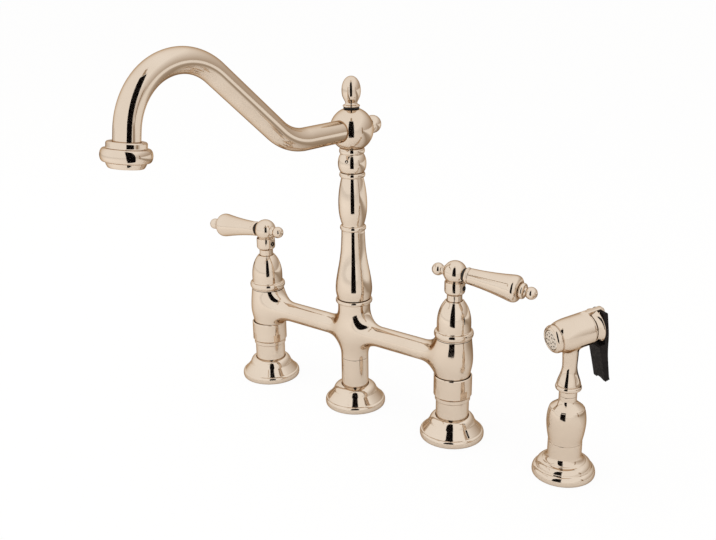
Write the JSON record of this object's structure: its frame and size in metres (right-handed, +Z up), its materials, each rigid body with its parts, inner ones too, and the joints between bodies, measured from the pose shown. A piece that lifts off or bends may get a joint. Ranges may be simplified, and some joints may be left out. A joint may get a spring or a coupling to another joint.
{
  "type": "bridge kitchen faucet with side sprayer",
  "caption": "Bridge kitchen faucet: lever valves joined by a raised bridge, turned column, swivelling high spout and a separate pull-up side sprayer with a trigger.",
  "frame": {"origin": "on the deck surface, on the axis of the middle column", "axes": "+X along the bridge to the right-hand valve and the sprayer, -Y to the front where the spout points, +Z up"},
  "size_m": [0.399, 0.2816, 0.3822],
  "materials": {
    "polished_nickel": "mirror-polished nickel plate, warm and slightly pink",
    "raw_brass": "machined, unplated",
    "spring_steel": "drawn wire",
    "black_rubber": "matt",
    "black_plastic": "moulded, fine grain",
    "black_steel": "black oxide",
    "white_acetal": "moulded"
  },
  "bodies": {
    "bridge": {"bridge_body": "polished_nickel", "left_flange": "polished_nickel", "right_flange": "polished_nickel", "centre_flange": "polished_nickel", "left_leg": "polished_nickel", "right_leg": "polished_nickel", "centre_leg": "polished_nickel", "left_deck_washer": "black_rubber", "right_deck_washer": "black_rubber", "centre_deck_washer": "black_rubber", "sprayer_deck_washer": "black_rubber", "left_lock_nut": "raw_brass", "right_lock_nut": "raw_brass", "centre_lock_nut": "raw_brass", "sprayer_lock_nut": "raw_brass", "left_union_nut": "polished_nickel", "right_union_nut": "polished_nickel", "left_bonnet": "polished_nickel", "right_bonnet": "polished_nickel", "left_cartridge": "raw_brass", "right_cartridge": "raw_brass", "column": "polished_nickel", "swivel_bush": "white_acetal", "diverter_seat": "white_acetal", "diverter_spring": "spring_steel", "sprayer_holder": "polished_nickel"},
    "left_handle": {"left_stem": "raw_brass", "left_handle_hub": "polished_nickel", "left_handle_knob": "polished_nickel", "left_handle_screw": "black_steel", "left_lever_ring": "black_rubber", "left_lever": "polished_nickel", "left_lever_tip": "polished_nickel"},
    "right_handle": {"right_stem": "raw_brass", "right_handle_hub": "polished_nickel", "right_handle_knob": "polished_nickel", "right_handle_screw": "black_steel", "right_lever_ring": "black_rubber", "right_lever": "polished_nickel", "right_lever_tip": "polished_nickel"},
    "spout": {"spout_base": "polished_nickel", "spout_screw": "black_steel", "spout_tube": "polished_nickel", "spout_hub": "polished_nickel", "rear_knob": "polished_nickel", "finial_gasket": "black_rubber", "finial": "polished_nickel", "aerator_shell": "polished_nickel", "aerator_insert": "white_acetal"},
    "diverter": {"diverter_piston": "white_acetal"},
    "hose_end": {"hose_coupling": "raw_brass"},
    "sprayer": {"sprayer_grip": "polished_nickel", "sprayer_stem": "polished_nickel", "sprayer_head": "polished_nickel", "spray_rose": "polished_nickel", "sprayer_cap": "polished_nickel", "trigger_pin": "spring_steel", "plunger_spring": "spring_steel"},
    "trigger": {"trigger": "black_plastic"},
    "plunger": {"trigger_plunger": "white_acetal"}
  },
  "joints": [
    {"name": "left_handle_turn", "type": "hinge", "parent": "bridge", "child": "left_handle", "pos_m": [-0.1016, 0, 0.143], "axis": [0, 0, 1], "range_deg": [0, 90]},
    {"name": "right_handle_turn", "type": "hinge", "parent": "bridge", "child": "right_handle", "pos_m": [0.1016, 0, 0.143], "axis": [0, 0, 1], "range_deg": [-90, 0]},
    {"name": "spout_swivel", "type": "hinge", "parent": "bridge", "child": "spout", "pos_m": [0, 0, 0.2], "axis": [0, 0, 1], "continuous": true},
    {"name": "diverter_lift", "type": "slide", "parent": "bridge", "child": "diverter", "axis": [0, 0, 1], "range_m": [0, 0.004], "stiffness_N_per_m": 100, "deforming": ["diverter_spring"]},
    {"name": "sprayer_lift", "type": "slide", "parent": "bridge", "child": "hose_end", "axis": [0, 0, 1], "range_m": [0, 0.06]},
    {"name": "sprayer_turn", "type": "hinge", "parent": "hose_end", "child": "sprayer", "pos_m": [0.2032, 0, 0.03], "axis": [0, 0, 1], "continuous": true},
    {"name": "trigger_pull", "type": "hinge", "parent": "sprayer", "child": "trigger", "pos_m": [0.21499, 0.021, 0.12807], "axis": [-0.8721, 0.4894, 0], "range_deg": [0, 5], "stiffness_Nm_per_rad": 0.5},
    {"name": "plunger_slide", "type": "slide", "parent": "sprayer", "child": "plunger", "axis": [-0.4846, -0.8636, -0.1392], "range_m": [0, 0.0008]}
  ],
  "couplings": [
    {"joint": "plunger_slide", "follows": "trigger_pull", "m_per_rad": 0.0084}
  ]
}
